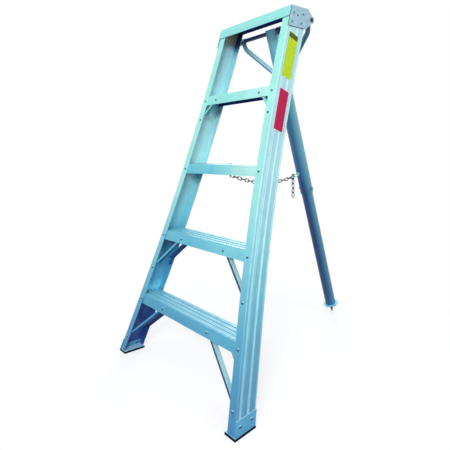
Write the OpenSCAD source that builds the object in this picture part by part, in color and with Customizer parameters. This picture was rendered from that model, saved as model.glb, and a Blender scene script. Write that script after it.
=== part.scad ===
// Cherry picking ladder: a flared front frame with four treads and a cap,
// and one hinged rear pole that a chain holds at its spread.
// Millimetres, +Z up, +Y towards the rear pole, origin on the ground at the middle of the footprint.

/* [Front frame] */
// Backward lean of the front frame, in degrees
lean = 20; // [18:0.5:22]
// Height of the first tread's top above the ground
first_step = 286; // [270:1:300]
// Rise from each tread to the next, and from the last tread to the cap
step_rise = 300; // [290:1:310]
// Half the outside width of the frame, measured at the ground
base_half = 425; // [405:1:445]
// Sideways splay of the lower part of each stile, in degrees
splay = 11.3; // [10.8:0.1:11.8]
// Straight rise of each stile before its gentle bend starts
straight_run = 360; // [320:1:400]
// Radius of the gentle bend in the upper part of each stile
bend_r = 7600; // [7400:10:8000]

/* [Stile channel] */
// Depth of the stile channel, front to back
stile_depth = 94; // [90:1:98]
// Width of the stile's two flanges
flange_w = 37; // [33:1:41]
// Thickness of the stile's web and flanges
wall = 3; // [2.6:0.1:3.4]
// Outside corner radius of the channel
corner_r = 4; // [3.6:0.1:5]
// Depth of the long flutes pressed into the outside of the web
flute_depth = 0.9; // [0.6:0.1:1.2]
// Width of each land between the flutes
land_w = 9; // [7:0.5:11]

/* [Treads] */
// Height of a tread's front and rear skirts
skirt_h = 40; // [36:1:44]
// Thickness of a tread's skirts and deck
tread_t = 2.6; // [2.2:0.1:3]
// Number of grip ribs along the deck
rib_count = 4; // [3:1:5]
// Height of a grip rib
rib_h = 1.8; // [1.4:0.1:2.2]
// Width of a grip rib
rib_w = 14; // [12:0.5:15]

/* [Cap] */
// Height of the cap's front skirt
cap_skirt = 41; // [37:1:45]
// Height of the cap's rear lip
cap_lip = 14; // [11:1:15]
// Thickness of the cap's plate
cap_t = 3; // [2.6:0.1:3.4]

/* [End plates] */
// Thickness of an end plate
plate_t = 3; // [2.5:0.1:4]
// Height of an end plate
plate_h = 77; // [73:1:81]
// Radius of the ear round the pivot rod
ear_r = 15; // [14:0.5:17]

/* [Braces] */
// Width of a brace at its two rivet tabs
brace_w = 22; // [19:0.5:25]
// Sheet thickness of a brace
brace_t = 2.2; // [1.8:0.1:2.6]
// Depth of the turned edge that stiffens a brace
brace_edge = 24; // [20:0.5:26]
// Width of a brace's face between its two rivet tabs
brace_leaf = 9; // [7:0.5:11]

/* [Rivets] */
// Radius of a rivet's head
rivet_head_r = 6.2; // [5.4:0.1:6.8]
// Height of a rivet's domed head
rivet_head_h = 3.6; // [3:0.1:4]
// Radius of a rivet's shank
rivet_r = 2.4; // [2:0.1:3]

/* [Feet] */
// Height of a shoe's outer plate above the ground
shoe_h = 59; // [55:1:64]
// Thickness of a shoe's sheet
shoe_t = 3; // [2.5:0.1:3.5]
// Thickness of the rubber sole
sole_t = 8; // [6:0.5:10]

/* [Rear pole] */
// Spread of the rear pole's tip behind the pivot rod
pole_spread = 474; // [460:1:490]
// Distance of the pivot rod behind the frame's front face
pivot_depth = 118.7; // [117:0.1:121]
// Height of the pivot rod below the cap's top
pivot_drop = 39; // [37:0.5:42]
// Outside radius of the upper pole tube
upper_r = 31.5; // [30.5:0.1:32]
// Wall of the upper pole tube
upper_wall = 3.6; // [3.2:0.1:4]
// Length of the upper pole tube below the pivot rod
upper_len = 770; // [755:1:785]
// Wall of the lower pole tube
lower_wall = 3; // [2.6:0.1:3.4]
// Radius of the pivot rod
rod_r = 9; // [8:0.1:9.5]
// Outside radius of the two brace arms
arm_r = 10.5; // [10:0.1:11]
// Wall of the two brace arms
arm_wall = 2.5; // [2:0.1:2.8]
// Radius of the round foot plate
foot_r = 40.5; // [38:0.5:44]

/* [Chain] */
// Thickness of the chain's wire
wire_d = 4; // [3.6:0.1:4.2]
// Inside width of a chain link
link_w = 9; // [8.6:0.1:9.6]
// Sag of the chain midway between its two ends
chain_sag = 30; // [26:1:34]

/* [Hidden] */
$fn = 64;

// Clearances: between seated pieces, between riveted faces, under the flat end plates on the bent stile,
// in rivet and bolt holes, and on the turning rod.
seat_gap = 0.15;
face_gap = 0.05;
plate_gap = 0.35;
hole_gap = 0.1;
running_gap = 0.06;
// Overrun of every cut past the face that it opens.
overrun = 2;
// Reach of a cutting block that has to pass the whole ladder.
far = 4000;

// Counts and the treads that carry braces.
tread_count = 4;
cap_top = first_step + tread_count * step_rise;
foot_top = sole_t + shoe_t;

// The pivot rod, placed from the frame's front face and from the cap.
pivot_z = cap_top - pivot_drop;
pole_tip_r = 3;
pole_angle = atan(pole_spread / (pivot_z - pole_tip_r));
pole_tip_t = (pivot_z - pole_tip_r) / cos(pole_angle);
foot_plate_t = 5;
foot_drop = 57;
foot_t = pole_tip_t - foot_drop;
sole_grow = 1.5;
front_edge = sole_t * tan(lean) - sole_grow;

// The footprint is centred on the origin from the toe of the soles to the rim of the round foot.
pivot_run = pivot_z * tan(lean) + pivot_depth / cos(lean);
foot_reach = pivot_run + foot_t * sin(pole_angle) + foot_r * cos(pole_angle)
    + foot_plate_t * sin(pole_angle);
front_y = -(foot_reach + front_edge) / 2;
pivot_y = front_y + pivot_run;

// World Y of a point at height z that lies w behind the frame's front face.
function y_at(z, w) = front_y + z * tan(lean) + w / cos(lean);
// Distance up the frame of a point at height z that lies w behind its front face.
function run_at(z, w) = (z + w * sin(lean)) / cos(lean);

// The stile's outer face in the plane of the frame: straight at first, then an arc whose centre is outside.
arc_x = base_half - straight_run * tan(splay) + bend_r * cos(splay);
arc_v = straight_run + bend_r * sin(splay);
// Angle of the stile to the frame's centre line at the distance v, and p inside its outer face.
function stile_turn(v, p = 0) = v < straight_run ? splay : asin((arc_v - v) / (bend_r + p));
// Distance of the stile's face from the centre line at the distance v, and p inside its outer face.
function stile_x(v, p = 0) = v < straight_run
    ? base_half - v * tan(splay) - p / cos(splay)
    : arc_x - (bend_r + p) * cos(stile_turn(v, p));

// Frame coordinates: X across, Y behind the front face, Z up along the lean.
module on_frame() {
    translate([0, front_y, 0]) rotate([-lean, 0, 0]) children();
}

// Web coordinates at the distance v: X out of the right stile's web, Y behind the front, Z along the web.
module on_web(v) {
    on_frame() translate([stile_x(v), 0, v]) rotate([0, -stile_turn(v), 0]) children();
}

// Pole coordinates: Z up along the pole's axis from the pivot rod, Y to the pole's back.
module on_pole() {
    translate([0, pivot_y, pivot_z]) rotate([pole_angle, 0, 0]) children();
}

// The right-hand piece as it is, or its mirror image on the left.
module on_side(left) {
    mirror([left ? 1 : 0, 0, 0]) children();
}

// A level slab between two heights, wide enough for the whole ladder.
module between(low, high) {
    translate([-far / 2, -far / 2, low]) cube([far, far, high - low]);
}

// A rivet along Z: its head stands on the plane at zero, its shank goes down through the grip.
module rivet(grip) {
    dome_r = (rivet_head_r * rivet_head_r + rivet_head_h * rivet_head_h) / (2 * rivet_head_h);
    intersection() {
        translate([0, 0, rivet_head_h - dome_r]) sphere(dome_r);
        cylinder(r = rivet_head_r, h = rivet_head_h);
    }
    translate([0, 0, -grip]) cylinder(r = rivet_r, h = grip + rivet_head_h / 2);
}

// The clearance hole that goes with a rivet.
module rivet_hole(grip) {
    translate([0, 0, -grip - overrun]) cylinder(r = rivet_r + hole_gap, h = grip + 2 * overrun);
}

// Grips of the rivets, each with a little shank left past the last sheet.
shank_tail = 1.5;
tread_grip = wall + seat_gap + tread_t + shank_tail;
skirt_grip = tread_t + brace_t + shank_tail;
flange_grip = wall + brace_t + shank_tail;
plate_grip = plate_t + plate_gap + wall + shank_tail;
shoe_grip = shoe_t + seat_gap + wall + shank_tail;
upstand_grip = shoe_t + wall;

// Rivets that hold the treads: one through each flange into each skirt.
rivet_inset = 22;
rivet_drop = 20;
module tread_rivet_places(step, left) {
    z = first_step + (step - 1) * step_rise - rivet_drop;
    for (rear = [0, 1]) {
        w = rear * stile_depth;
        v = run_at(z, w);
        on_side(left) on_frame() translate([stile_x(v) - rivet_inset, w, v])
            rotate([rear == 1 ? -90 : 90, 0, 0]) children();
    }
}

// Braces: treads that have them, whether at the rear too, reach along the tread and drop down the stile.
brace_steps = [1, 2, 4];
brace_reach = [0, 208, 164, 0, 94];
brace_fall = [0, 187, 152, 0, 82];
brace_rear = [0, 1, 1, 0, 0];
function brace_sides(step) = brace_rear[step] == 1 ? [0, 1] : [0];
// The face that a tread's skirt turns to the brace, and the same face of the flange, measured from the front.
skirt_face = wall + seat_gap + tread_t;
function from_front(w, rear) = rear == 1 ? stile_depth - w : w;
function brace_top_v(step, rear) =
    run_at(first_step + (step - 1) * step_rise - rivet_drop, from_front(0, rear));
function brace_top(step, rear) =
    [stile_x(brace_top_v(step, rear)) - brace_reach[step], brace_top_v(step, rear)];
function brace_foot_v(step, rear) = brace_top_v(step, rear) - brace_fall[step] / cos(lean);
function brace_foot(step, rear) =
    [stile_x(brace_foot_v(step, rear)) - rivet_inset, brace_foot_v(step, rear)];

// Places of a brace's two rivets: top through the skirt, bottom through the flange.
module brace_top_place(step, rear, left) {
    top = brace_top(step, rear);
    on_side(left) on_frame() translate([top[0], from_front(wall + seat_gap, rear), top[1]])
        rotate([rear == 1 ? -90 : 90, 0, 0]) children();
}
module brace_foot_place(step, rear, left) {
    foot = brace_foot(step, rear);
    on_side(left) on_frame() translate([foot[0], from_front(0, rear), foot[1]])
        rotate([rear == 1 ? -90 : 90, 0, 0]) children();
}

// End plate rivets: two rows of two, and one empty hole, placed by height and by depth behind the front face.
plate_inset = 14;
plate_rear_inset = 28;
plate_row_drop = 24;
plate_row_share = 0.45;
plate_set = 2;
plate_top = cap_top - plate_set;
plate_rows = [plate_top - plate_row_drop, plate_top - plate_row_drop - plate_row_share * plate_h];
plate_columns = [plate_inset, stile_depth - plate_rear_inset];
plate_mid_v = run_at(plate_top - plate_h / 2, stile_depth / 2);
spare_hole_share = 0.4;
spare_hole_w = spare_hole_share * stile_depth;
spare_hole_z = plate_top - plate_h * (1 - spare_hole_share) + plate_row_drop / 2;
spare_hole_r = 3.6;
module spare_hole(left) {
    on_side(left) on_web(plate_mid_v)
        translate([plate_gap + plate_t, spare_hole_w, run_at(spare_hole_z, spare_hole_w) - plate_mid_v])
        rotate([0, 90, 0]) translate([0, 0, -plate_grip - overrun])
        cylinder(r = spare_hole_r, h = plate_grip + 2 * overrun);
}
module plate_rivet_places(left) {
    for (z = plate_rows, w = plate_columns)
        on_side(left) on_web(plate_mid_v)
            translate([plate_gap + plate_t, w, run_at(z, w) - plate_mid_v])
            rotate([0, 90, 0]) children();
}

// Shoe rivets: two through the outer plate, and two lower ones from inside the channel.
shoe_inset = 20;
shoe_columns = [shoe_inset, stile_depth - shoe_inset];
shoe_drop = 22;
shoe_outer_z = shoe_h - shoe_drop;
shoe_inner_z = 20;
shoe_inner_h = 30;
module shoe_outer_places(left) {
    for (w = shoe_columns) {
        v = run_at(shoe_outer_z, w);
        on_side(left) on_web(v) translate([seat_gap + shoe_t, w, 0]) rotate([0, 90, 0]) children();
    }
}
module shoe_inner_places(left) {
    for (w = shoe_columns) {
        v = run_at(shoe_inner_z, w);
        on_side(left) on_web(v) translate([-wall - seat_gap - shoe_t, w, 0]) rotate([0, -90, 0]) children();
    }
}

// Section of the stile, drawn inward from its outer face and back from its front face.
flute_lands = 4;
module stile_section() {
    flute_w = (stile_depth - flute_lands * land_w) / (flute_lands - 1);
    difference() {
        union() {
            translate([corner_r, 0]) square([flange_w - corner_r, stile_depth]);
            translate([0, corner_r]) square([flange_w, stile_depth - 2 * corner_r]);
            for (w = [corner_r, stile_depth - corner_r]) translate([corner_r, w]) circle(corner_r);
        }
        translate([wall, wall]) square([flange_w, stile_depth - 2 * wall]);
        for (i = [0 : flute_lands - 2]) translate([0, land_w + i * (flute_w + land_w)])
            polygon([[-overrun, 0], [0, 0], [flute_depth, flute_depth],
                [flute_depth, flute_w - flute_depth], [0, flute_w], [-overrun, flute_w]]);
    }
}

// The right stile before drilling: a straight and a bent length of one channel, cut level at both ends.
module stile_blank() {
    tail = straight_run / cos(splay) + stile_depth;
    intersection() {
        on_frame() translate([stile_x(straight_run), 0, straight_run]) rotate([0, -splay, 0]) union() {
            translate([0, 0, -tail]) linear_extrude(tail) mirror([1, 0]) stile_section();
            translate([bend_r, 0, 0]) rotate([90, 0, 180]) rotate_extrude(angle = splay, $fn = 720)
                translate([bend_r, 0]) stile_section();
        }
        between(foot_top, cap_top - cap_t);
    }
}

// A drilled stile, right or left.
module stile(left) {
    difference() {
        on_side(left) stile_blank();
        for (step = [1 : tread_count]) tread_rivet_places(step, left) rivet_hole(tread_grip);
        for (step = brace_steps, rear = [0, 1])
            if (rear <= brace_rear[step]) brace_foot_place(step, rear, left) rivet_hole(flange_grip);
        plate_rivet_places(left) rivet_hole(plate_grip);
        spare_hole(left);
        shoe_outer_places(left) rivet_hole(shoe_grip);
        shoe_inner_places(left) rivet_hole(upstand_grip);
    }
}

module left_stile() color("#8fd9e0") stile(true);
module right_stile() color("#8fd9e0") stile(false);

// The space between the two stile faces, p inside their outer faces, over the run from low to high.
module inside_frame(low, high, p) {
    on_frame() translate([0, far / 2, 0]) rotate([90, 0, 0]) linear_extrude(far)
        polygon([[-stile_x(low, p), low], [stile_x(low, p), low],
            [stile_x(high, p), high], [-stile_x(high, p), high]]);
}

// Bent sheet along X: a level deck, a front skirt and a rear skirt that lie parallel to the frame.
// The ribs are the points of the deck's top edge, from the front to the rear.
module deck_section(top, front_w, rear_w, front_h, rear_h, t, ribs = []) {
    polygon(concat([[y_at(top, front_w), top]], ribs, [
        [y_at(top, rear_w), top],
        [y_at(top - rear_h, rear_w), top - rear_h], [y_at(top - rear_h, rear_w - t), top - rear_h],
        [y_at(top - t, rear_w - t), top - t], [y_at(top - t, front_w + t), top - t],
        [y_at(top - front_h, front_w + t), top - front_h], [y_at(top - front_h, front_w), top - front_h]
    ]));
}

// Extrudes a section drawn in Y and Z along X, across the whole frame.
module across() {
    rotate([90, 0, 90]) linear_extrude(2 * base_half, center = true) children();
}

// A tread: ribbed deck and two skirts, its ends cut to the stile webs and drilled for its rivets.
module tread(step) {
    top = first_step + (step - 1) * step_rise;
    front_w = wall + seat_gap;
    rear_w = stile_depth - wall - seat_gap;
    deck = top - rib_h;
    low = run_at(top - skirt_h, front_w);
    high = run_at(top, rear_w);
    rib_pitch = (rear_w - front_w) / cos(lean) / rib_count;
    rib_start = y_at(deck, front_w) + (rib_pitch - rib_w) / 2;
    ribs = [
        for (i = [0 : rib_count - 1], q = [[0, 0], [0, rib_h], [rib_w, rib_h], [rib_w, 0]])
            [rib_start + i * rib_pitch + q[0], deck + q[1]]
    ];
    difference() {
        intersection() {
            across() deck_section(deck, front_w, rear_w, skirt_h - rib_h, skirt_h - rib_h, tread_t, ribs);
            inside_frame(low, high, wall + 2 * seat_gap);
        }
        for (left = [true, false]) {
            tread_rivet_places(step, left) rivet_hole(tread_grip);
            if (brace_reach[step] > 0)
                for (rear = brace_sides(step)) brace_top_place(step, rear, left) rivet_hole(skirt_grip);
        }
        if (step == anchor_step) anchor_place() bolt_hole(anchor_bolt_r, skirt_h);
    }
}

module tread_1() color("#79c3da") tread(1);
module tread_2() color("#7fcadd") tread(2);
module tread_3() color("#8fdbe2") tread(3);
module tread_4() color("#97e6e6") tread(4);

// The cap: a level platform over the stile tops, with a deep front skirt and a shallow rear lip.
module cap() color("#9cf0ea") {
    intersection() {
        across() deck_section(cap_top, -cap_t - seat_gap, stile_depth + cap_t + seat_gap,
            cap_skirt, cap_lip, cap_t);
        inside_frame(run_at(cap_top - cap_skirt, -cap_t), run_at(cap_top, stile_depth + cap_t), plate_gap);
    }
}

// An end plate: level top and bottom, a front edge along the lean, and an ear round the pivot rod.
module end_plate(left) {
    front_w = -cap_t - seat_gap;
    shoulder_w = stile_depth - 2 * wall;
    heel_w = stile_depth + wall;
    low_z = plate_top - plate_h;
    pivot_v = run_at(pivot_z, pivot_depth);
    difference() {
        on_side(left) on_web(plate_mid_v) translate([plate_gap, 0, -plate_mid_v])
            rotate([90, 0, 90]) linear_extrude(plate_t) {
                polygon([
                    [front_w, run_at(low_z, front_w)], [heel_w, run_at(low_z, heel_w)],
                    [pivot_depth + ear_r * cos(lean), pivot_v - ear_r * sin(lean)],
                    [pivot_depth, pivot_v + ear_r],
                    [shoulder_w, run_at(plate_top, shoulder_w)], [front_w, run_at(plate_top, front_w)]
                ]);
                translate([pivot_depth, pivot_v]) circle(ear_r);
            }
        plate_rivet_places(left) rivet_hole(plate_grip);
        spare_hole(left);
        translate([0, pivot_y, pivot_z]) rotate([0, 90, 0])
            cylinder(r = rod_end_r + plate_gap, h = far, center = true);
    }
}

module left_end_plate() color("#a9bcc4") end_plate(true);
module right_end_plate() color("#a9bcc4") end_plate(false);

// A brace: an angle with a narrow face and one deep turned edge, flattened to a round tab at both ends.
// Its foot is set down from the skirt's face to the flange's face.
brace_tab = 26;
brace_joggle = 10;
module brace(step, rear, left) {
    foot = brace_foot(step, rear);
    top = brace_top(step, rear);
    span = norm(top - foot);
    climb = atan2(top[1] - foot[1], top[0] - foot[0]);
    foot_w = wall + face_gap;
    body_w = skirt_face + face_gap;
    joint_start = brace_w / 2;
    side = [
        [-brace_w, foot_w], [joint_start, foot_w], [joint_start + brace_joggle, body_w],
        [span + brace_w, body_w], [span + brace_w, body_w + brace_t],
        [joint_start + brace_joggle - brace_t / 2, body_w + brace_t],
        [joint_start - brace_t / 2, foot_w + brace_t], [-brace_w, foot_w + brace_t]
    ];
    half = brace_w / 2;
    face = [
        [0, -half], [brace_tab, half - brace_leaf], [span - brace_tab, half - brace_leaf],
        [span, -half], [span, half], [0, half]
    ];
    on_side(left) difference() {
        on_frame() translate([foot[0], 0, foot[1]]) rotate([0, -climb, 0]) mirror([0, 0, 1]) {
            intersection() {
                linear_extrude(2 * brace_w, center = true)
                    polygon([for (q = side) [q[0], from_front(q[1], rear)]]);
                translate([0, stile_depth, 0]) rotate([90, 0, 0]) linear_extrude(stile_depth) {
                    polygon(face);
                    for (l = [0, span]) translate([l, 0]) circle(half);
                }
            }
            translate([brace_tab, from_front(body_w, rear) - rear * brace_edge, half - brace_t])
                cube([span - 2 * brace_tab, brace_edge, brace_t]);
        }
        brace_foot_place(step, rear, false) rivet_hole(flange_grip);
        brace_top_place(step, rear, false) rivet_hole(skirt_grip);
    }
}

module brace_1_front_left() color("#6fb9d6") brace(1, 0, true);
module brace_1_front_right() color("#6fb9d6") brace(1, 0, false);
module brace_1_rear_left() color("#6fb9d6") brace(1, 1, true);
module brace_1_rear_right() color("#6fb9d6") brace(1, 1, false);
module brace_2_front_left() color("#7cc8dc") brace(2, 0, true);
module brace_2_front_right() color("#7cc8dc") brace(2, 0, false);
module brace_2_rear_left() color("#7cc8dc") brace(2, 1, true);
module brace_2_rear_right() color("#7cc8dc") brace(2, 1, false);
module brace_4_front_left() color("#93e2e4") brace(4, 0, true);
module brace_4_front_right() color("#93e2e4") brace(4, 0, false);

module tread_rivets() color("#6aa9bd") {
    for (step = [1 : tread_count], left = [true, false]) tread_rivet_places(step, left) rivet(tread_grip);
}

module brace_rivets() color("#6aa9bd") {
    for (step = brace_steps, left = [true, false], rear = [0, 1]) if (rear <= brace_rear[step]) {
        brace_top_place(step, rear, left) rivet(skirt_grip);
        brace_foot_place(step, rear, left) rivet(flange_grip);
    }
}

module plate_rivets() color("#8d9fa8") {
    for (left = [true, false]) plate_rivet_places(left) rivet(plate_grip);
}

module shoe_rivets() color("#5f9fba") {
    for (left = [true, false]) {
        shoe_outer_places(left) rivet(shoe_grip);
        shoe_inner_places(left) rivet(upstand_grip);
    }
}

// A shoe: an outer plate on the web, a level base under the cut end and a low upstand inside the channel.
shoe_lip = 11;
module shoe_slab(p, w, depth, top) {
    intersection() {
        on_web(0) translate([-p, w, -far / 2]) cube([shoe_t, depth, far]);
        between(sole_t, top);
    }
}
// Outline of the base, skewed with the splay, where the shoe meets its sole.
function base_outer(w) = stile_x(run_at(sole_t, w), -shoe_t - seat_gap);
function base_inner(w) = stile_x(run_at(sole_t, w), flange_w) - shoe_lip;
module base_outline(grow) {
    front = y_at(sole_t, 0) - grow;
    rear = y_at(sole_t, stile_depth) + grow;
    polygon([
        [base_outer(0) + grow, front], [base_outer(stile_depth) + grow, rear],
        [base_inner(stile_depth) - grow, rear], [base_inner(0) - grow, front]
    ]);
}
module shoe(left) {
    inner_w = wall + seat_gap;
    difference() {
        on_side(left) union() {
            shoe_slab(-seat_gap, 0, stile_depth, shoe_h);
            shoe_slab(wall + seat_gap + shoe_t, inner_w, stile_depth - 2 * inner_w, shoe_inner_h);
            translate([0, 0, sole_t]) linear_extrude(shoe_t - seat_gap) base_outline(0);
        }
        shoe_outer_places(left) rivet_hole(shoe_grip);
        shoe_inner_places(left) rivet_hole(shoe_t);
    }
}

module left_shoe() color("#66aece") shoe(true);
module right_shoe() color("#66aece") shoe(false);

// The rubber sole under a shoe, a little larger all round.
module sole(left) {
    on_side(left) linear_extrude(sole_t) base_outline(sole_grow);
}
module left_sole() color("#14181c") sole(true);
module right_sole() color("#14181c") sole(false);

// The pivot rod sits between the end plates; its thinner ends go through them and carry hexagon nuts.
rod_end_r = 5;
nut_t = 4.5;
nut_r = 8.5;
rod_end = 2;
plate_turn = stile_turn(plate_mid_v);
// Distance of an end plate's inner face from the centre line, at a height above the pivot rod.
function plate_face(above) = stile_x(plate_mid_v) + plate_gap / cos(plate_turn)
    - (run_at(pivot_z, pivot_depth) + above - plate_mid_v) * tan(plate_turn);
rod_half = plate_face(rod_r) - seat_gap;
nut_face = plate_face(-nut_r) + plate_t / cos(plate_turn) + seat_gap;
module pivot_rod() color("#1d2b4a") {
    translate([0, pivot_y, pivot_z]) rotate([0, 90, 0]) {
        cylinder(r = rod_r, h = 2 * rod_half, center = true);
        cylinder(r = rod_end_r, h = 2 * (nut_face + nut_t + rod_end), center = true);
    }
}
module rod_nuts() color("#20262e") {
    for (s = [-1, 1]) translate([s * (nut_face + nut_t / 2), pivot_y, pivot_z])
        rotate([0, 90, 0]) difference() {
            cylinder(r = nut_r, h = nut_t, center = true, $fn = 6);
            cylinder(r = rod_end_r + hole_gap, h = nut_t + 2 * overrun, center = true);
        }
}
collar_r = 15;
collar_len = 15;
collar_gap = 0.5;
module rod_collar() color("#24344f") {
    translate([upper_r + collar_gap, pivot_y, pivot_z]) rotate([0, 90, 0]) difference() {
        cylinder(r = collar_r, h = collar_len);
        translate([0, 0, -overrun]) cylinder(r = rod_r + hole_gap, h = collar_len + 2 * overrun);
    }
}

// A plain bolt hole along Z, through everything within the reach.
module bolt_hole(r, reach) {
    translate([0, 0, -reach]) cylinder(r = r + hole_gap, h = 2 * reach);
}

// The upper pole tube, rounded over the pivot rod so that it can turn below the cap.
pole_crown = 14;
pole_bolt_inset = 22;
pole_bolt_t = upper_len - pole_bolt_inset;
pole_bolt_r = 5;
eye_inset = 115;
eye_t = upper_len - eye_inset;
eye_bolt_r = 4;
lower_r = upper_r - upper_wall - seat_gap;
splice = 80;
module upper_pole() color("#3f7fa8") on_pole() difference() {
    translate([0, 0, -upper_len]) cylinder(r = upper_r, h = upper_len + pole_crown);
    translate([0, 0, -upper_len - overrun])
        cylinder(r = upper_r - upper_wall, h = upper_len + pole_crown + 2 * overrun);
    rotate([0, 90, 0]) cylinder(r = rod_r + running_gap, h = far, center = true);
    translate([0, 0, -pole_bolt_t]) rotate([0, 90, 0]) bolt_hole(pole_bolt_r, 2 * upper_r);
    translate([0, -upper_r, -eye_t]) rotate([90, 0, 0]) bolt_hole(eye_bolt_r, upper_r);
}

// The lower pole tube slides up inside the upper one and is held there by a through bolt.
module lower_pole() color("#35709b") on_pole() difference() {
    translate([0, 0, -foot_t]) cylinder(r = lower_r, h = foot_t - upper_len + splice);
    translate([0, 0, -foot_t - overrun])
        cylinder(r = lower_r - lower_wall, h = foot_t - upper_len + splice + 2 * overrun);
    translate([0, 0, -pole_bolt_t]) rotate([0, 90, 0]) bolt_hole(pole_bolt_r, 2 * upper_r);
}

bolt_head_r = 9;
bolt_head_h = 6.5;
bolt_tail = 5;
module pole_bolt() color("#2a3138") on_pole() translate([0, 0, -pole_bolt_t]) rotate([0, 90, 0]) {
    translate([0, 0, upper_r + seat_gap]) cylinder(r = bolt_head_r, h = bolt_head_h, $fn = 6);
    translate([0, 0, -upper_r - bolt_head_h - bolt_tail])
        cylinder(r = pole_bolt_r, h = 2 * upper_r + 2 * bolt_head_h + bolt_tail);
}
module pole_nut() color("#2a3138") on_pole() translate([-upper_r - seat_gap, 0, -pole_bolt_t])
    rotate([0, -90, 0]) difference() {
        cylinder(r = bolt_head_r, h = bolt_head_h, $fn = 6);
        translate([0, 0, -overrun]) cylinder(r = pole_bolt_r + hole_gap, h = bolt_head_h + 2 * overrun);
    }

// A brace arm: a sleeve on the rod beside the end plate, and a tube that bends and is coped to the pole.
arm_inset = 19.5;
arm_x = stile_x(run_at(pivot_z, pivot_depth)) - arm_inset;
arm_corner = 35;
arm_turn = 47.8;
arm_bend_r = 45;
// The tube narrows a little at its bend, and the bend reaches a little way into both straight lengths.
arm_slim = 0.3;
arm_lap = 1.5;
module arm_path(r, start) {
    bend_top = arm_corner - arm_bend_r * tan(arm_turn / 2);
    end_x = arm_x - arm_bend_r * (1 - cos(arm_turn));
    translate([arm_x, 0, -bend_top]) cylinder(r = r, h = bend_top + start);
    translate([arm_x - arm_bend_r, 0, -bend_top]) rotate([90, 0, 0]) rotate([0, 0, -arm_turn - arm_lap])
        rotate_extrude(angle = arm_turn + 2 * arm_lap) translate([arm_bend_r, 0]) circle(r - arm_slim);
    translate([end_x, 0, -bend_top - arm_bend_r * sin(arm_turn)]) rotate([0, 180 + arm_turn, 0])
        cylinder(r = r, h = end_x / sin(arm_turn));
}
sleeve_r = rod_r + arm_wall + running_gap;
sleeve_len = 26;
module arm(left) {
    on_side(left) on_pole() difference() {
        union() {
            arm_path(arm_r, 0);
            translate([arm_x, 0, 0]) rotate([0, 90, 0]) cylinder(r = sleeve_r, h = sleeve_len, center = true);
        }
        arm_path(arm_r - arm_wall, -sleeve_r);
        translate([0, 0, -far / 2]) cylinder(r = upper_r + seat_gap, h = far);
        rotate([0, 90, 0]) cylinder(r = rod_r + running_gap, h = far, center = true);
    }
}
module left_arm() color("#7fc4dc") arm(true);
module right_arm() color("#4d88a4") arm(false);

// The round foot: a plug in the tube and a dished plate that keeps the spike from sinking in.
plug_len = 42;
foot_dish = 4;
spike_r = 8;
spike_shank_r = 6;
module pole_foot() color("#7cc9df") on_pole() translate([0, 0, -foot_t]) rotate_extrude() {
    plug_r = lower_r - lower_wall - seat_gap;
    polygon([
        [spike_shank_r + hole_gap, plug_len], [plug_r, plug_len], [plug_r, -seat_gap],
        [lower_r + foot_dish, -seat_gap], [foot_r, foot_dish - foot_plate_t],
        [foot_r, -foot_plate_t], [lower_r, -foot_plate_t - foot_dish],
        [spike_shank_r + hole_gap, -foot_plate_t - foot_dish]
    ]);
}

// The spike: a shank up the plug and a blunt point that rests on the ground.
module pole_spike() color("#12161b") on_pole() translate([0, 0, -pole_tip_t]) {
    shoulder = foot_drop - foot_plate_t - foot_dish - seat_gap;
    point = spike_r * 3;
    sphere(pole_tip_r);
    rotate_extrude() polygon([[0, 0], [pole_tip_r, 0], [spike_r, point], [spike_r, shoulder],
        [spike_shank_r, shoulder], [spike_shank_r, foot_drop + plug_len], [0, foot_drop + plug_len]]);
}

// The eye bolt on the front of the pole: its eye lies across the pole, so the chain hangs in the middle.
ring_wire_r = 3;
ring_r = 16;
eye_reach = 24;
eye_flange_r = 9;
eye_flange_t = 3;
module pole_eye() color("#8fa7ad") on_pole() translate([0, -upper_r, -eye_t]) {
    eye_tail = upper_wall + eye_flange_t;
    translate([0, -eye_reach, 0]) rotate_extrude() translate([ring_r, 0]) circle(ring_wire_r);
    rotate([90, 0, 0]) {
        translate([0, 0, -eye_tail]) cylinder(r = eye_bolt_r, h = eye_reach - ring_r + eye_tail);
        translate([0, 0, seat_gap]) cylinder(r = eye_flange_r, h = eye_flange_t);
    }
}

// The chain anchor: an eye bolt down through the deck of one tread, with its eye across the ladder.
anchor_step = 3;
anchor_bolt_r = 4;
anchor_inset = 19;
anchor_w = stile_depth - anchor_inset;
anchor_hang = 48;
anchor_ring_r = 9;
anchor_top = first_step + (anchor_step - 1) * step_rise;
anchor_y = y_at(anchor_top - anchor_hang, anchor_w);
module anchor_place() {
    translate([0, anchor_y, anchor_top]) children();
}
anchor_nut_t = 6;
anchor_head_h = 1.6;
module chain_anchor() color("#5b6670") anchor_place() {
    translate([0, 0, anchor_ring_r - anchor_hang]) rotate([90, 0, 0])
        rotate_extrude() translate([anchor_ring_r, 0]) circle(ring_wire_r);
    translate([0, 0, 2 * anchor_ring_r - anchor_hang])
        cylinder(r = anchor_bolt_r, h = anchor_hang - 2 * anchor_ring_r);
    translate([0, 0, seat_gap]) cylinder(r = 2 * anchor_bolt_r, h = anchor_head_h);
    cylinder(r = anchor_bolt_r, h = anchor_head_h);
}
module anchor_nut() color("#5b6670") anchor_place()
    translate([0, 0, -rib_h - tread_t - seat_gap - anchor_nut_t]) difference() {
        cylinder(r = 2 * anchor_bolt_r, h = anchor_nut_t, $fn = 6);
        translate([0, 0, -overrun]) cylinder(r = anchor_bolt_r + hole_gap, h = anchor_nut_t + 2 * overrun);
    }

// Where the chain's two ends hang: the anchor's low bar, and the front and side bars of the pole's eye.
anchor_bar = [anchor_y, anchor_top - anchor_hang];
function pole_point(off, t) = [
    pivot_y + off * cos(pole_angle) + t * sin(pole_angle),
    pivot_z + off * sin(pole_angle) - t * cos(pole_angle)
];
eye_bar = pole_point(-upper_r - eye_reach - ring_r, eye_t);
side_bar = pole_point(-upper_r - eye_reach, eye_t);

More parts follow.
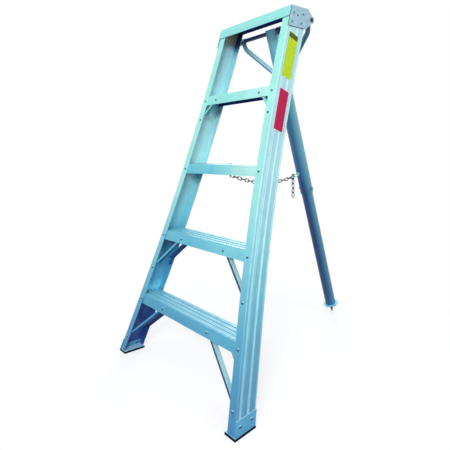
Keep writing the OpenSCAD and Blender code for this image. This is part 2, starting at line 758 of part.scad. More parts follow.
// The hanging line of the chain: a shallow sag between the anchor and the eye, in Y and Z.
hang_reach = eye_bar[0] - anchor_bar[0];
hang_fall = (eye_bar[1] - anchor_bar[1]) / hang_reach;
sag_rate = 4 * chain_sag / (hang_reach * hang_reach);
function hang(y) = [
    y, anchor_bar[1] + hang_fall * (y - anchor_bar[0]) + sag_rate * (y - anchor_bar[0]) * (y - eye_bar[0])
];
function hang_slope(y) = hang_fall + sag_rate * (2 * y - anchor_bar[0] - eye_bar[0]);
function stretch(y) = sqrt(1 + pow(hang_slope(y), 2));
// The next point along the hanging line at a chord of the given length, by the slope at mid-chord.
function next_y(y, chord) = y + chord / stretch(y + chord / 2 / stretch(y));
function points_from(y, chord, count) =
    count == 0 ? [hang(y)] : concat([hang(y)], points_from(next_y(y, chord), chord, count - 1));

// The links share the line equally; it is open in one place, so that each length can swing as the pole folds.
front_links = 12;
rear_links = 6;
tail_links = 5;
link_gap = 0.35;
open_gap = 6;
bar_hold = ring_wire_r + link_gap / 2;
hang_len = hang_reach / 6
    * (stretch(anchor_bar[0]) + 4 * stretch((anchor_bar[0] + eye_bar[0]) / 2) + stretch(eye_bar[0]));
link_pitch = (hang_len + 2 * bar_hold - 2 * wire_d - link_gap - open_gap) / (front_links + rear_links);
front_points = points_from(next_y(anchor_bar[0], -bar_hold), link_pitch, front_links);
rear_points = points_from(next_y(eye_bar[0], bar_hold), -link_pitch, rear_links);

// One chain link along X from its first bow: two round bows and two straight sides.
bow_r = (link_w + wire_d) / 2;
link_side = link_pitch + link_gap - link_w;
module link() {
    for (s = [-1, 1]) {
        translate([(1 + s) * link_side / 2, 0, 0]) rotate([0, 0, -90 * s])
            rotate_extrude(angle = 180, $fn = 32) translate([bow_r, 0]) circle(wire_d / 2, $fn = 24);
        translate([0, s * bow_r, 0]) rotate([0, 90, 0]) cylinder(r = wire_d / 2, h = link_side, $fn = 24);
    }
}

// A link from point a towards point b, both in Y and Z; every other link is turned a quarter.
module link_between(a, b, quarter) {
    start = (link_pitch - link_side) / 2;
    translate([0, a[0], a[1]]) rotate([atan2(b[1] - a[1], b[0] - a[0]), 0, 0]) rotate([0, 0, 90])
        translate([start, 0, 0]) rotate([quarter ? 0 : 90, 0, 0]) link();
}

module chain_front() color("#4a5056") {
    for (i = [0 : front_links - 1]) link_between(front_points[i], front_points[i + 1], i % 2 == 1);
}
module chain_rear() color("#4a5056") {
    for (i = [0 : rear_links - 1]) link_between(rear_points[i], rear_points[i + 1], i % 2 == 1);
}

// The free end of the chain hangs from the left side of the eye.
module chain_tail() color("#4a5056") {
    lift = (ring_wire_r + wire_d / 2 + link_gap) / cos(pole_angle) - wire_d / 2 - link_gap / 2;
    translate([-ring_r, side_bar[0], side_bar[1] + lift]) rotate([0, 90, 0])
        for (i = [0 : tail_links - 1]) translate([i * link_pitch + (link_pitch - link_side) / 2, 0, 0])
            rotate([i % 2 == 0 ? 90 : 0, 0, 0]) link();
}

left_stile();
right_stile();
tread_1();
tread_2();
tread_3();
tread_4();
cap();
left_end_plate();
right_end_plate();
brace_1_front_left();
brace_1_front_right();
brace_1_rear_left();
brace_1_rear_right();
brace_2_front_left();
brace_2_front_right();
brace_2_rear_left();
brace_2_rear_right();
brace_4_front_left();
brace_4_front_right();
tread_rivets();
brace_rivets();
plate_rivets();
shoe_rivets();
left_shoe();
right_shoe();
left_sole();
right_sole();
pivot_rod();
rod_nuts();
rod_collar();
chain_anchor();
anchor_nut();
upper_pole();
lower_pole();
left_arm();
right_arm();
pole_bolt();
pole_nut();
pole_foot();
pole_spike();
pole_eye();
chain_front();
chain_rear();
chain_tail();
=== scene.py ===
# %% [markdown]
# # A tripod ladder for fruit picking
# The real ladder is aluminium channel, sheet and tube, riveted together, with a chain that holds the rear
# pole at its spread. Its hard shapes come from the CAD model, so Blender is here for the finish: what each
# metal looks like, the plain panels on its side, the light and the camera.

# %% Load the ladder
import bpy
import bmesh
from math import radians, sin, cos, tan, asin, pi
from mathutils import Matrix, Vector


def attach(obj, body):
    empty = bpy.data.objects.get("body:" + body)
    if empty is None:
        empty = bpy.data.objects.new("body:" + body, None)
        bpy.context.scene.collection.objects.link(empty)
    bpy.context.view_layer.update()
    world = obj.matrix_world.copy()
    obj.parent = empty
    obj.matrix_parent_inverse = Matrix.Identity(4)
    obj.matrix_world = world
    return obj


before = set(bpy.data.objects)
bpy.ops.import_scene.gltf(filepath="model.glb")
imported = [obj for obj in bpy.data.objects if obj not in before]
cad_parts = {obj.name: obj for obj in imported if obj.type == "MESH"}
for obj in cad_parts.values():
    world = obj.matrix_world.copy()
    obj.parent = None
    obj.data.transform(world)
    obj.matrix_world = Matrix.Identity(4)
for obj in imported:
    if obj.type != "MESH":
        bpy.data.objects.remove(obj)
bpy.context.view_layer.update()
mm = 0.001

# %% [markdown]
# ## The camera
# The photo was taken from the ladder's front right, a little above the height of its third tread. A camera
# could be placed by eye, but its place, its angles and its lens were worked out from the tread ends and the
# stile edges, so that the render and the photo can be laid over each other. Places are in millimetres,
# angles in radians, and front_y is where the leaning front of the frame meets the ground.

# %% Camera
front_y = -575.328
camera_place = Vector((1335.9, -756.0 + front_y, 964.9)) * mm
camera_yaw, camera_pitch, camera_roll = 0.8826, 0.1930, -0.0343
photo_side = 450
focal_pixels = 407.5

ahead = Vector((-sin(camera_yaw) * cos(camera_pitch), cos(camera_yaw) * cos(camera_pitch),
                -sin(camera_pitch)))
level_right = Vector((cos(camera_yaw), sin(camera_yaw), 0))
level_up = level_right.cross(ahead)
right = level_right * cos(camera_roll) + level_up * sin(camera_roll)
up = level_up * cos(camera_roll) - level_right * sin(camera_roll)

lens = bpy.data.cameras.new("photo_camera")
lens.sensor_fit = "HORIZONTAL"
lens.sensor_width = 36
lens.lens = focal_pixels * lens.sensor_width / photo_side
camera = bpy.data.objects.new("photo_camera", lens)
camera.matrix_world = Matrix.Translation(camera_place) @ Matrix((right, up, -ahead)).transposed().to_4x4()
bpy.context.scene.collection.objects.link(camera)
bpy.context.scene.camera = camera
print("lens", round(lens.lens, 1), "mm")


# %% [markdown]
# ## Two helpers for everything that follows
# Colours are easiest to choose as hex codes, but shaders count light in linear numbers, so one function
# turns the first into the second. The other adds one node with its settings and its links, which keeps each
# finish short.

# %% Colour and node helpers
def linear(code):
    """A hex colour, as seen on a screen, turned into the linear numbers that shaders use."""
    parts = [int(code[i:i + 2], 16) / 255 for i in (1, 3, 5)]
    return [c / 12.92 if c <= 0.04045 else ((c + 0.055) / 1.055) ** 2.4 for c in parts] + [1.0]


def add(tree, kind, links=None, **settings):
    """One node with its settings; its inputs are linked to sockets or set to values."""
    node = tree.nodes.new(kind)
    for name, value in settings.items():
        setattr(node, name, value)
    for socket, value in (links or {}).items():
        if isinstance(value, bpy.types.NodeSocket):
            tree.links.new(value, node.inputs[socket])
        else:
            node.inputs[socket].default_value = value
    return node


print("white is", linear("#ffffff"))


# %% [markdown]
# ## Sky
# The photo is a cut-out on white with a faint shadow. Most of its light comes from above and from the
# right. A picture of a room could light the ladder, but a smooth change is all that dull metal shows, so
# the world is bright on that side and dim below. The camera, and every mirror-like reflection, sees plain
# white instead of this sky, so the background stays white. The Standard view shows colours as chosen.

# %% World
def seen_directly(tree):
    """1 for rays that show a thing to the eye, in a mirror or through glass, and 0 for soft light."""
    ray = add(tree, "ShaderNodeLightPath")
    direct = add(tree, "ShaderNodeMath",
                 {0: ray.outputs["Is Camera Ray"], 1: ray.outputs["Is Glossy Ray"]}, operation="MAXIMUM")
    return add(tree, "ShaderNodeMath",
               {0: direct.outputs[0], 1: ray.outputs["Is Transmission Ray"]}, operation="MAXIMUM").outputs[0]


bright_side = Vector((0.45, -0.15, 0.88)).normalized()
dim_turn, bright_turn = -0.6, 0.7
dim_light, bright_light = 0.06, 0.88

world = bpy.data.worlds.new("white_studio")
world.use_nodes = True
bpy.context.scene.world = world
tree = world.node_tree
tree.nodes.clear()
sky = add(tree, "ShaderNodeTexCoord")
turn = add(tree, "ShaderNodeVectorMath", {0: sky.outputs["Generated"], 1: bright_side},
           operation="DOT_PRODUCT")
level = add(tree, "ShaderNodeMapRange", {"Value": turn.outputs["Value"], "From Min": dim_turn,
                                         "From Max": bright_turn, "To Min": dim_light,
                                         "To Max": bright_light}, interpolation_type="SMOOTHSTEP")
soft = add(tree, "ShaderNodeBackground", {"Color": linear("#f2f7fc"), "Strength": level.outputs["Result"]})
white = add(tree, "ShaderNodeBackground", {"Color": linear("#ffffff"), "Strength": 1.0})
mixed = add(tree, "ShaderNodeMixShader", {0: seen_directly(tree), 1: soft.outputs[0], 2: white.outputs[0]})
add(tree, "ShaderNodeOutputWorld", {"Surface": mixed.outputs[0]})
bpy.context.scene.view_settings.view_transform = "Standard"
print("world:", world.name)


# %% [markdown]
# ## Lamps
# A soft box is a lamp behind a white cloth. One sun lamp could light the ladder, but its shadows would have
# hard edges, and those in the photo are soft. A large soft box high in front lights the treads and a weak
# one the right side. A third one at the rear left fills the side that the photo doesn't show.

# %% Soft boxes
def soft_box(name, place, aim, side, power):
    """A square lamp at a place, turned to a point that it lights, in metres and watts."""
    data = bpy.data.lights.new(name, "AREA")
    data.shape, data.size, data.energy = "SQUARE", side, power
    box = bpy.data.objects.new(name, data)
    box.location = place
    box.rotation_euler = (Vector(aim) - Vector(place)).to_track_quat("-Z", "Y").to_euler()
    bpy.context.scene.collection.objects.link(box)
    print(name, power, "W")


soft_box("front_soft_box", place=(2.9, -3.8, 3.1), aim=(0, -0.1, 0.8), side=1.6, power=150)
soft_box("right_soft_box", place=(3.9, 0.7, 2.6), aim=(0, 0, 0.8), side=1.4, power=28)
soft_box("rear_fill_box", place=(-3.2, 3.4, 2.4), aim=(0, 0, 0.8), side=1.8, power=70)

# %% [markdown]
# ## The floor
# The photo's ladder stands on plain white with only a faint shadow at its feet. A wide flat sheet a hair
# below the ground gives that shadow a place to fall on. It is a prop, not a piece of the ladder.

# %% Floor
floor_reach = 12
floor_drop = 0.4

floor_mesh = bpy.data.meshes.new("studio_floor")
floor_mesh.from_pydata([(-floor_reach, -floor_reach, 0), (floor_reach, -floor_reach, 0),
                        (floor_reach, floor_reach, 0), (-floor_reach, floor_reach, 0)], [], [(0, 1, 2, 3)])
floor = bpy.data.objects.new("studio_floor", floor_mesh)
floor.location.z = -floor_drop * mm
bpy.context.scene.collection.objects.link(floor)
print("floor:", 2 * floor_reach, "m square")

# %% [markdown]
# ## White paper
# Paper is matt to the eye. Near the ladder it takes the shadow of the feet; further away it fades to plain
# white, so that no horizon shows. To the soft light that it would throw back it is grey. It could be white
# there too, but a bright floor would light the undersides of the treads, which are dark in the photo.

# %% White paper
matt_reach, white_reach = 0.55, 1.15
least_white = 0.6

paper = bpy.data.materials.new("white_paper_sweep")
paper.use_nodes = True
tree = paper.node_tree
tree.nodes.clear()
where = add(tree, "ShaderNodeTexCoord")
away = add(tree, "ShaderNodeVectorMath", {0: where.outputs["Object"]}, operation="LENGTH")
fade = add(tree, "ShaderNodeMapRange", {"Value": away.outputs["Value"], "From Min": matt_reach,
                                        "From Max": white_reach, "To Min": least_white},
           interpolation_type="SMOOTHSTEP")
matt = add(tree, "ShaderNodeBsdfDiffuse", {"Color": linear("#fcfcfc")})
white = add(tree, "ShaderNodeEmission", {"Color": linear("#ffffff"), "Strength": 1.0})
sheet = add(tree, "ShaderNodeMixShader", {0: fade.outputs["Result"], 1: matt.outputs[0], 2: white.outputs[0]})
grey = add(tree, "ShaderNodeBsdfDiffuse", {"Color": linear("#5c6068")})
mixed = add(tree, "ShaderNodeMixShader", {0: seen_directly(tree), 1: grey.outputs[0], 2: sheet.outputs[0]})
add(tree, "ShaderNodeOutputMaterial", {"Surface": mixed.outputs[0]})
floor_mesh.materials.append(paper)
print(paper.name, "is white from", white_reach, "m on")

# %% [markdown]
# ## How the aluminium is coloured
# Bare aluminium would be grey. This ladder's metal is given an aqua tint that is darker towards the bottom:
# deep blue at the feet, paling to mint at the cap. One colour could stand for it, but the change over the
# height is what the eye sees first, so a ramp over the height above the ground gives it, from colours at
# heights in millimetres. The old oxide skin scatters most of the light, so the metallic share of the
# finishes is low.

# %% Tint by height
ladder_height = 1486


def new_finish(name, metal, rough):
    """A material whose shader has the given metallic share and roughness."""
    finish = bpy.data.materials.new(name)
    finish.use_nodes = True
    shader = finish.node_tree.nodes["Principled BSDF"]
    shader.inputs["Metallic"].default_value = metal
    shader.inputs["Roughness"].default_value = rough
    return finish, finish.node_tree, shader


def tint_by_height(tree, stops):
    """The colour at each height: stops are heights in millimetres and hex colours."""
    where = add(tree, "ShaderNodeTexCoord")
    split = add(tree, "ShaderNodeSeparateXYZ", {0: where.outputs["Object"]})
    share = add(tree, "ShaderNodeMapRange", {"Value": split.outputs["Z"], "From Max": ladder_height * mm})
    ramp = add(tree, "ShaderNodeValToRGB", {0: share.outputs["Result"]})
    while len(ramp.color_ramp.elements) < len(stops):
        ramp.color_ramp.elements.new(1.0)
    for element, (height, code) in zip(ramp.color_ramp.elements, stops):
        element.position = height / ladder_height
        element.color = linear(code)
    return ramp.outputs["Color"]


print("tints run over", ladder_height, "mm of height")

# %% [markdown]
# ## Streaks and smudges
# Rolling, drawing and extruding leave fine lines along a piece, and hands and weather leave smudges about
# as wide as a palm. Both could be pictures, but two noises give them at any size: one is stretched along
# the piece, the other even. They darken the colour a little, change the gloss, and the lines stand out as a
# slight bump.

# %% Weathering
smudge_width = 70.0
line_height = 0.2
dull_sum, bright_sum = 0.7, 1.3
darkest, palest = 0.90, 1.06


def weathered(tree, shader, colour, grain, stretch, lean, relief, gloss):
    """Streaks along one direction and broad smudges, in colour, roughness and bump.

    grain is the streaks' width in millimetres, stretch their length in grains on X, Y and Z, lean the turn
    of the piece about X, relief the strength of the bump and gloss the change of roughness."""
    where = add(tree, "ShaderNodeTexCoord")
    turned = add(tree, "ShaderNodeVectorRotate", {"Vector": where.outputs["Object"], "Angle": lean},
                 rotation_type="X_AXIS")
    drawn = add(tree, "ShaderNodeVectorMath",
                {0: turned.outputs[0], 1: [1 / (grain * mm * s) for s in stretch]}, operation="MULTIPLY")
    streak = add(tree, "ShaderNodeTexNoise", {"Vector": drawn.outputs[0], "Scale": 1.0, "Detail": 3.0})
    smudge = add(tree, "ShaderNodeTexNoise",
                 {"Vector": where.outputs["Object"], "Scale": 1 / (smudge_width * mm), "Detail": 5.0})
    both = add(tree, "ShaderNodeMath", {0: streak.outputs[0], 1: smudge.outputs[0]}, operation="ADD")
    dark = add(tree, "ShaderNodeMapRange", {"Value": both.outputs[0], "From Min": dull_sum,
                                            "From Max": bright_sum, "To Min": darkest, "To Max": palest})
    shade = add(tree, "ShaderNodeVectorMath", {0: colour, "Scale": dark.outputs["Result"]}, operation="SCALE")
    tree.links.new(shade.outputs[0], shader.inputs["Base Color"])
    base = shader.inputs["Roughness"].default_value
    rough = add(tree, "ShaderNodeMapRange", {"Value": both.outputs[0], "From Min": dull_sum,
                                             "From Max": bright_sum, "To Min": base + gloss,
                                             "To Max": base - gloss})
    tree.links.new(rough.outputs["Result"], shader.inputs["Roughness"])
    bump = add(tree, "ShaderNodeBump", {"Height": streak.outputs[0], "Strength": relief,
                                        "Distance": line_height * mm})
    tree.links.new(bump.outputs[0], shader.inputs["Normal"])


print("smudges are", smudge_width, "mm wide")


# %% [markdown]
# ## Putting a finish on
# Each piece came from the CAD model with a plain material. A finish could be chosen face by face, but each
# piece is cut, bent or moulded from one material, so one finish takes the place of all that the mesh had.

# %% Dressing a piece
def dress(finish, *names):
    """Puts a finish on CAD nodes."""
    for name in names:
        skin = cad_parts[name].data
        skin.materials.clear()
        skin.materials.append(finish)
    print(finish.name, "on", ", ".join(names))


print("pieces to dress:", len(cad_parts))

# %% [markdown]
# ## Which way a face looks
# Light and shade are painted into several finishes by which way a face looks, so a finish has to know it.
# One function tells how far it looks to a given side. The frame leans back by 20 degrees, so another turns
# a point upright to tell how deep it lies behind the front. With both, a third finds the faces that are
# given painted shade.

# %% Facing and shelter
frame_lean = radians(20)
skyward, groundward, frontward = (0, 0, 1), (0, 0, -1), (0, -1, 0)
open_depth, deep_depth = 20.0, 40.0


def looks_to(tree, where, side, low, high):
    """How far a face looks to a side: 0 up to a cosine of low, 1 from high on."""
    turn = add(tree, "ShaderNodeVectorMath", {0: where.outputs["Normal"], 1: side}, operation="DOT_PRODUCT")
    return add(tree, "ShaderNodeMapRange", {"Value": turn.outputs["Value"], "From Min": low,
                                            "From Max": high},
               interpolation_type="SMOOTHSTEP").outputs["Result"]


def frame_depth(tree, where):
    """How far a point lies behind the frame's leaning front, in metres."""
    set_back = add(tree, "ShaderNodeVectorMath", {0: where.outputs["Object"], 1: (0, -front_y * mm, 0)})
    turned = add(tree, "ShaderNodeVectorRotate", {"Vector": set_back.outputs[0], "Angle": frame_lean},
                 rotation_type="X_AXIS")
    return add(tree, "ShaderNodeSeparateXYZ", {0: turned.outputs[0]}).outputs["Y"]


# the faces picked out here are painted in a darker colour as painted shade
def in_shade(tree, where):
    """1 on faces that get painted shade: those that look down, or forward from inside a piece; 0 on the
    others.
    """
    beneath = looks_to(tree, where, groundward, low=0.4, high=0.7)
    forward = looks_to(tree, where, frontward, low=0.5, high=0.8)
    behind = add(tree, "ShaderNodeMapRange", {"Value": frame_depth(tree, where), "From Min": open_depth * mm,
                                              "From Max": deep_depth * mm})
    within = add(tree, "ShaderNodeMath", {0: forward, 1: behind.outputs["Result"]}, operation="MULTIPLY")
    return add(tree, "ShaderNodeMath", {0: beneath, 1: within.outputs[0]}, operation="MAXIMUM").outputs[0]


print("sheltered from", deep_depth, "mm behind the front")

# %% [markdown]
# ## Stiles: extruded aluminium, mill finish
# A stile is pushed through a die, which leaves fine lines along its whole length and gives the eye a sheen
# that is drawn out along it. Die lines are about 0.3 mm apart; they are drawn 5 mm wide so that they show.
# One tint could serve all its faces, but each kind of face is coloured its own way. The outside of the web
# is greyer than the flanges. The inside of the channel is painted darker under the treads and towards the
# foot as painted shade, and brighter just above the lowest tread as painted light. Faces that look down, or
# look forward from deep inside, take a deeper blue as painted shade. Under the cap the inside is brown, and
# its rear flange is painted almost navy as the cap's painted shadow.

# %% Tints of the stiles
stile_finish, tree, shader = new_finish("mill_finish_extruded_aluminium", metal=0.15, rough=0.42)
flange_tint = tint_by_height(tree, [(20, "#3f88b4"), (190, "#4f9ac0"), (380, "#68b6cd"), (560, "#82cddd"),
                                    (760, "#a4eae6"), (1000, "#a8f0e6"), (1450, "#a6f4e6")])
outside_tint = tint_by_height(tree, [(60, "#568fb0"), (280, "#62a4be"), (480, "#7cbccb"), (680, "#9bd0da"),
                                     (860, "#abd9e1"), (1450, "#b4dae2")])
# inside of the channel: painted shade under the treads and at the foot, painted light above the lowest tread,
# brown under the cap
inside_tint = tint_by_height(tree, [(60, "#2c4c92"), (262, "#32609e"), (300, "#84e8fa"), (345, "#5cb2d8"),
                                    (460, "#50a0c4"), (515, "#3c80ac"), (545, "#346c9c"), (600, "#74c4d6"),
                                    (660, "#84d0de"), (950, "#b4e8ee"), (1402, "#b8e8f0"), (1424, "#9cb8c4"),
                                    (1432, "#b0ac94"), (1455, "#c8b48c")])
# painted shade for faces that look down or forward from deep inside, near navy as the cap's painted shadow
painted_shade_tint = tint_by_height(tree, [(60, "#2c4c92"), (262, "#32609e"), (300, "#58a8cc"), (460, "#4c9cc0"),
                                  (660, "#84d0de"), (950, "#b0e8e8"), (1360, "#9cd8e0"),
                                  (1412, "#4c7a9c"), (1438, "#28306c")])
# pale colour of the painted highlight bands on the web
highlight_tint = tint_by_height(tree, [(140, "#84c6e0"), (290, "#88d4e8"), (470, "#a0e8f0"), (660, "#ace8ee"),
                                  (850, "#b4eaf0"), (1450, "#bceef2")])
print(stile_finish.name, "has five tints")

# %% [markdown]
# ## The sides of a stile
# Each face of the channel takes its own tint. Four materials could do that, but the faces of the CAD mesh
# carry no marks, so the direction that a face looks in tells them apart: out from the ladder's middle or in
# towards it.

# %% Outside and inside of the channel
web_edge, web_flat = 0.4, 0.8

where = add(tree, "ShaderNodeTexCoord")
place = add(tree, "ShaderNodeSeparateXYZ", {0: where.outputs["Object"]})
facing = add(tree, "ShaderNodeSeparateXYZ", {0: where.outputs["Normal"]})
side = add(tree, "ShaderNodeMath", {0: place.outputs["X"]}, operation="SIGN")
outward = add(tree, "ShaderNodeMath", {0: facing.outputs["X"], 1: side.outputs[0]}, operation="MULTIPLY")
outside = add(tree, "ShaderNodeMapRange", {"Value": outward.outputs[0], "From Min": web_edge,
                                           "From Max": web_flat}, interpolation_type="SMOOTHSTEP")
inside = add(tree, "ShaderNodeMapRange", {"Value": outward.outputs[0], "From Min": -web_edge,
                                          "From Max": -web_flat}, interpolation_type="SMOOTHSTEP")
web = add(tree, "ShaderNodeMix", {"Factor": outside.outputs["Result"], "A": flange_tint, "B": outside_tint},
          data_type="RGBA")
lined = add(tree, "ShaderNodeMix", {"Factor": inside.outputs["Result"], "A": web.outputs["Result"],
                                    "B": inside_tint}, data_type="RGBA")
# faces that look down or forward from inside take the painted shade tint
channel = add(tree, "ShaderNodeMix", {"Factor": in_shade(tree, where), "A": lined.outputs["Result"],
                                      "B": painted_shade_tint}, data_type="RGBA")
print(stile_finish.name, "has", len(tree.nodes), "nodes so far")

# %% [markdown]
# ## Painted highlights on the web
# Along the fluted web run bright bands, which are painted highlights standing in for light caught by the
# flutes. They could be strips of mesh, but they are only painted light, so they are in the finish: every
# 37 mm of depth behind the front, a band fades in and out.

# %% Painted highlight bands
band_width = 10.0
first_band = 18.0
band_spacing = 37.0
band_fade_out, band_fade_in = 3.0, 2.0
band_share = 0.9
die_line = 5.0

from_band = add(tree, "ShaderNodeMath", {0: frame_depth(tree, where), 1: first_band * mm},
                operation="SUBTRACT")
nearest = add(tree, "ShaderNodeMath", {0: from_band.outputs[0], 1: band_spacing / 2 * mm},
              operation="PINGPONG")
on_band = add(tree, "ShaderNodeMapRange", {"Value": nearest.outputs[0],
                                           "From Min": (band_width / 2 + band_fade_out) * mm,
                                           "From Max": (band_width / 2 - band_fade_in) * mm,
                                           "To Max": band_share}, interpolation_type="SMOOTHSTEP")
# painted highlight bands, only on the outside of the web
highlit = add(tree, "ShaderNodeMath", {0: on_band.outputs["Result"], 1: outside.outputs["Result"]},
             operation="MULTIPLY")
banded = add(tree, "ShaderNodeMix", {"Factor": highlit.outputs[0], "A": channel.outputs["Result"],
                                     "B": highlight_tint}, data_type="RGBA")
weathered(tree, shader, banded.outputs["Result"], grain=die_line, stretch=(1, 1, 120), lean=frame_lean,
          relief=0.25, gloss=0.07)
dress(stile_finish, "left_stile", "right_stile")

# %% [markdown]
# ## Treads: ribbed aluminium that is walked on
# A tread is cut from a wide extrusion with a ribbed deck, so its lines run across the ladder. The deck is
# painted paler than the skirts as painted light from above, and the skirts are paler at their right half.
# One even colour could do, but a face that looks up takes the deck's tint, and the place from left to right
# mixes the two tints of the skirts.

# %% Painted-light deck and skirts paler to the right
pale_start, pale_end = -60.0, 200.0

tread_finish, tree, shader = new_finish("ribbed_tread_aluminium", metal=0.15, rough=0.46)
left_tint = tint_by_height(tree, [(240, "#4a9cc0"), (290, "#52a4c6"), (540, "#60b8d0"), (590, "#6cc0d6"),
                                  (840, "#66c4d8"), (890, "#74d0de"), (1140, "#94e8e2"), (1190, "#a2ece4")])
right_tint = tint_by_height(tree, [(240, "#54a6c6"), (290, "#5caccc"), (540, "#76cada"), (590, "#84d2de"),
                                   (840, "#b0ece2"), (890, "#bcf0e8"), (1140, "#b6f2ea"), (1190, "#bcf4ee")])
# the deck tint is paler as painted light from above
deck_tint = tint_by_height(tree, [(280, "#82c6da"), (580, "#80cad8"), (880, "#b4d8dc"), (1180, "#b8f2e8")])
where = add(tree, "ShaderNodeTexCoord")
place = add(tree, "ShaderNodeSeparateXYZ", {0: where.outputs["Object"]})
rightward = add(tree, "ShaderNodeMapRange", {"Value": place.outputs["X"], "From Min": pale_start * mm,
                                             "From Max": pale_end * mm}, interpolation_type="SMOOTHSTEP")
skirt = add(tree, "ShaderNodeMix", {"Factor": rightward.outputs["Result"], "A": left_tint, "B": right_tint},
            data_type="RGBA")
# faces that look up take the deck's painted-light tint
top_lit = add(tree, "ShaderNodeMix", {"Factor": looks_to(tree, where, skyward, low=0.5, high=0.9),
                                   "A": skirt.outputs["Result"], "B": deck_tint}, data_type="RGBA")
print(tread_finish.name, "pales over", pale_end - pale_start, "mm")

# %% [markdown]
# ## The shaded side of a tread
# A face that looks down, or stands inside a tread, is painted deep blue as painted shade. The fronts of the
# deck's ribs look forward from inside too, but they take only about a third of that painted shade. They
# could have a finish of their own, but their level tells them apart: they lie above the same height in every
# rise of 300 mm.

# %% Painted shade under the treads
tread_spacing = 300.0
deck_level = 284.0
rib_blend = 1.0
rib_shade_share = 0.35
# deep blue painted shade
painted_shade_blue = linear("#34509e")
rolling_line = 4.0

level = add(tree, "ShaderNodeMath", {0: place.outputs["Z"], 1: tread_spacing * mm}, operation="MODULO")
below = add(tree, "ShaderNodeMapRange", {"Value": level.outputs[0], "From Min": (deck_level - rib_blend) * mm,
                                         "From Max": deck_level * mm, "To Min": 1.0, "To Max": rib_shade_share})
# faces that look down or forward from inside get painted shade, the rib fronts only partly
tread_shade = add(tree, "ShaderNodeMath", {0: in_shade(tree, where), 1: below.outputs["Result"]},
             operation="MULTIPLY")
tread = add(tree, "ShaderNodeMix", {"Factor": tread_shade.outputs[0], "A": top_lit.outputs["Result"],
                                    "B": painted_shade_blue}, data_type="RGBA")
weathered(tree, shader, tread.outputs["Result"], grain=rolling_line, stretch=(120, 1, 1), lean=0, relief=0.2,
          gloss=0.08)
dress(tread_finish, "tread_1", "tread_2", "tread_3", "tread_4")

# %% [markdown]
# ## Cap: rolled aluminium sheet
# The cap is bent from one sheet, and the rolls have left lines across the ladder. It is a pale mint, and it
# is a little shinier than a tread. It could have one even colour, but its inside is painted as deep a blue as
# that of the treads, as painted shade, so the same function serves it.

# %% Cap
cap_finish, tree, shader = new_finish("cap_sheet_aluminium", metal=0.2, rough=0.4)
pale_tint = tint_by_height(tree, [(1440, "#92e4e0"), (1486, "#9aeae4")])
where = add(tree, "ShaderNodeTexCoord")
# faces inside the cap get the deep blue painted shade
platform = add(tree, "ShaderNodeMix", {"Factor": in_shade(tree, where), "A": pale_tint, "B": painted_shade_blue},
               data_type="RGBA")
weathered(tree, shader, platform.outputs["Result"], grain=rolling_line, stretch=(120, 1, 1), lean=0,
          relief=0.15, gloss=0.06)
dress(cap_finish, "cap")

# %% [markdown]
# ## Braces: pressed aluminium angles
# A brace is a strip that a press has bent, with one leaf on the stile and one on the tread. The skin is
# dull, so its mirror part is turned down. Its faces that look up are painted near white as a painted
# highlight, and its undersides blue as painted shade. The low leaves at the right that face forward are
# painted dark as painted shade, and so are the rear braces at the left. Each could be a material of its own,
# but place and direction pick them out in one.

# %% Tints of the braces
brace_finish, tree, shader = new_finish("pressed_brace_aluminium", metal=0.05, rough=0.5)
shader.inputs["Specular IOR Level"].default_value = 0.15
face_tint = tint_by_height(tree, [(60, "#4b95be"), (280, "#5aa8c8"), (580, "#70bed0"), (1180, "#98e4e0")])
upper_face_highlight = tint_by_height(tree, [(60, "#b0f8ff"), (180, "#ccffff"), (580, "#ccfff8"), (1180, "#c0fcf6")])
underside_shade_tint = tint_by_height(tree, [(60, "#1284d4"), (280, "#1c84cc"), (580, "#3088b8"), (1100, "#74c4d0")])
rear_shade_tint = tint_by_height(tree, [(60, "#2c4c92"), (280, "#34589e"), (580, "#3c70ac")])
print(brace_finish.name, "has four tints")

# %% Leaves, edges and undersides
forward_turn, under_turn = -0.7, -0.3
low_height = 700.0
rear_depth = 50.0

where = add(tree, "ShaderNodeTexCoord")
place = add(tree, "ShaderNodeSeparateXYZ", {0: where.outputs["Object"]})
facing = add(tree, "ShaderNodeSeparateXYZ", {0: where.outputs["Normal"]})
forward = add(tree, "ShaderNodeMath", {0: facing.outputs["Y"], 1: forward_turn}, operation="LESS_THAN")
rightward = add(tree, "ShaderNodeMath", {0: place.outputs["X"], 1: 0.0}, operation="GREATER_THAN")
shaded = add(tree, "ShaderNodeMath", {0: forward.outputs[0], 1: rightward.outputs[0]}, operation="MULTIPLY")
low = add(tree, "ShaderNodeMath", {0: place.outputs["Z"], 1: low_height * mm}, operation="LESS_THAN")
leaf = add(tree, "ShaderNodeMath", {0: shaded.outputs[0], 1: low.outputs[0]}, operation="MULTIPLY")
# low forward-facing leaves at the right: dark painted shade
front = add(tree, "ShaderNodeMix", {"Factor": leaf.outputs[0], "A": face_tint, "B": linear("#28587e")},
            data_type="RGBA")
# faces that look up: near-white painted highlight
edged = add(tree, "ShaderNodeMix", {"Factor": looks_to(tree, where, skyward, low=0.4, high=0.6),
                                    "A": front.outputs["Result"], "B": upper_face_highlight}, data_type="RGBA")
# faces that look down: blue painted shade
beneath = add(tree, "ShaderNodeMath", {0: facing.outputs["Z"], 1: under_turn}, operation="LESS_THAN")
under = add(tree, "ShaderNodeMix", {"Factor": beneath.outputs[0], "A": edged.outputs["Result"],
                                    "B": underside_shade_tint}, data_type="RGBA")
# rear braces at the left: painted shade
behind = add(tree, "ShaderNodeMath", {0: frame_depth(tree, where), 1: rear_depth * mm},
             operation="GREATER_THAN")
leftward = add(tree, "ShaderNodeMath", {0: behind.outputs[0], 1: rightward.outputs[0]}, operation="SUBTRACT")
bent = add(tree, "ShaderNodeMix", {"Factor": leftward.outputs[0], "A": under.outputs["Result"],
                                   "B": rear_shade_tint}, data_type="RGBA")
weathered(tree, shader, bent.outputs["Result"], grain=rolling_line, stretch=(1, 1, 40), lean=frame_lean,
          relief=0.2, gloss=0.07)
braces = [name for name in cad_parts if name.startswith("brace_") and name != "brace_rivets"]
dress(brace_finish, *braces)
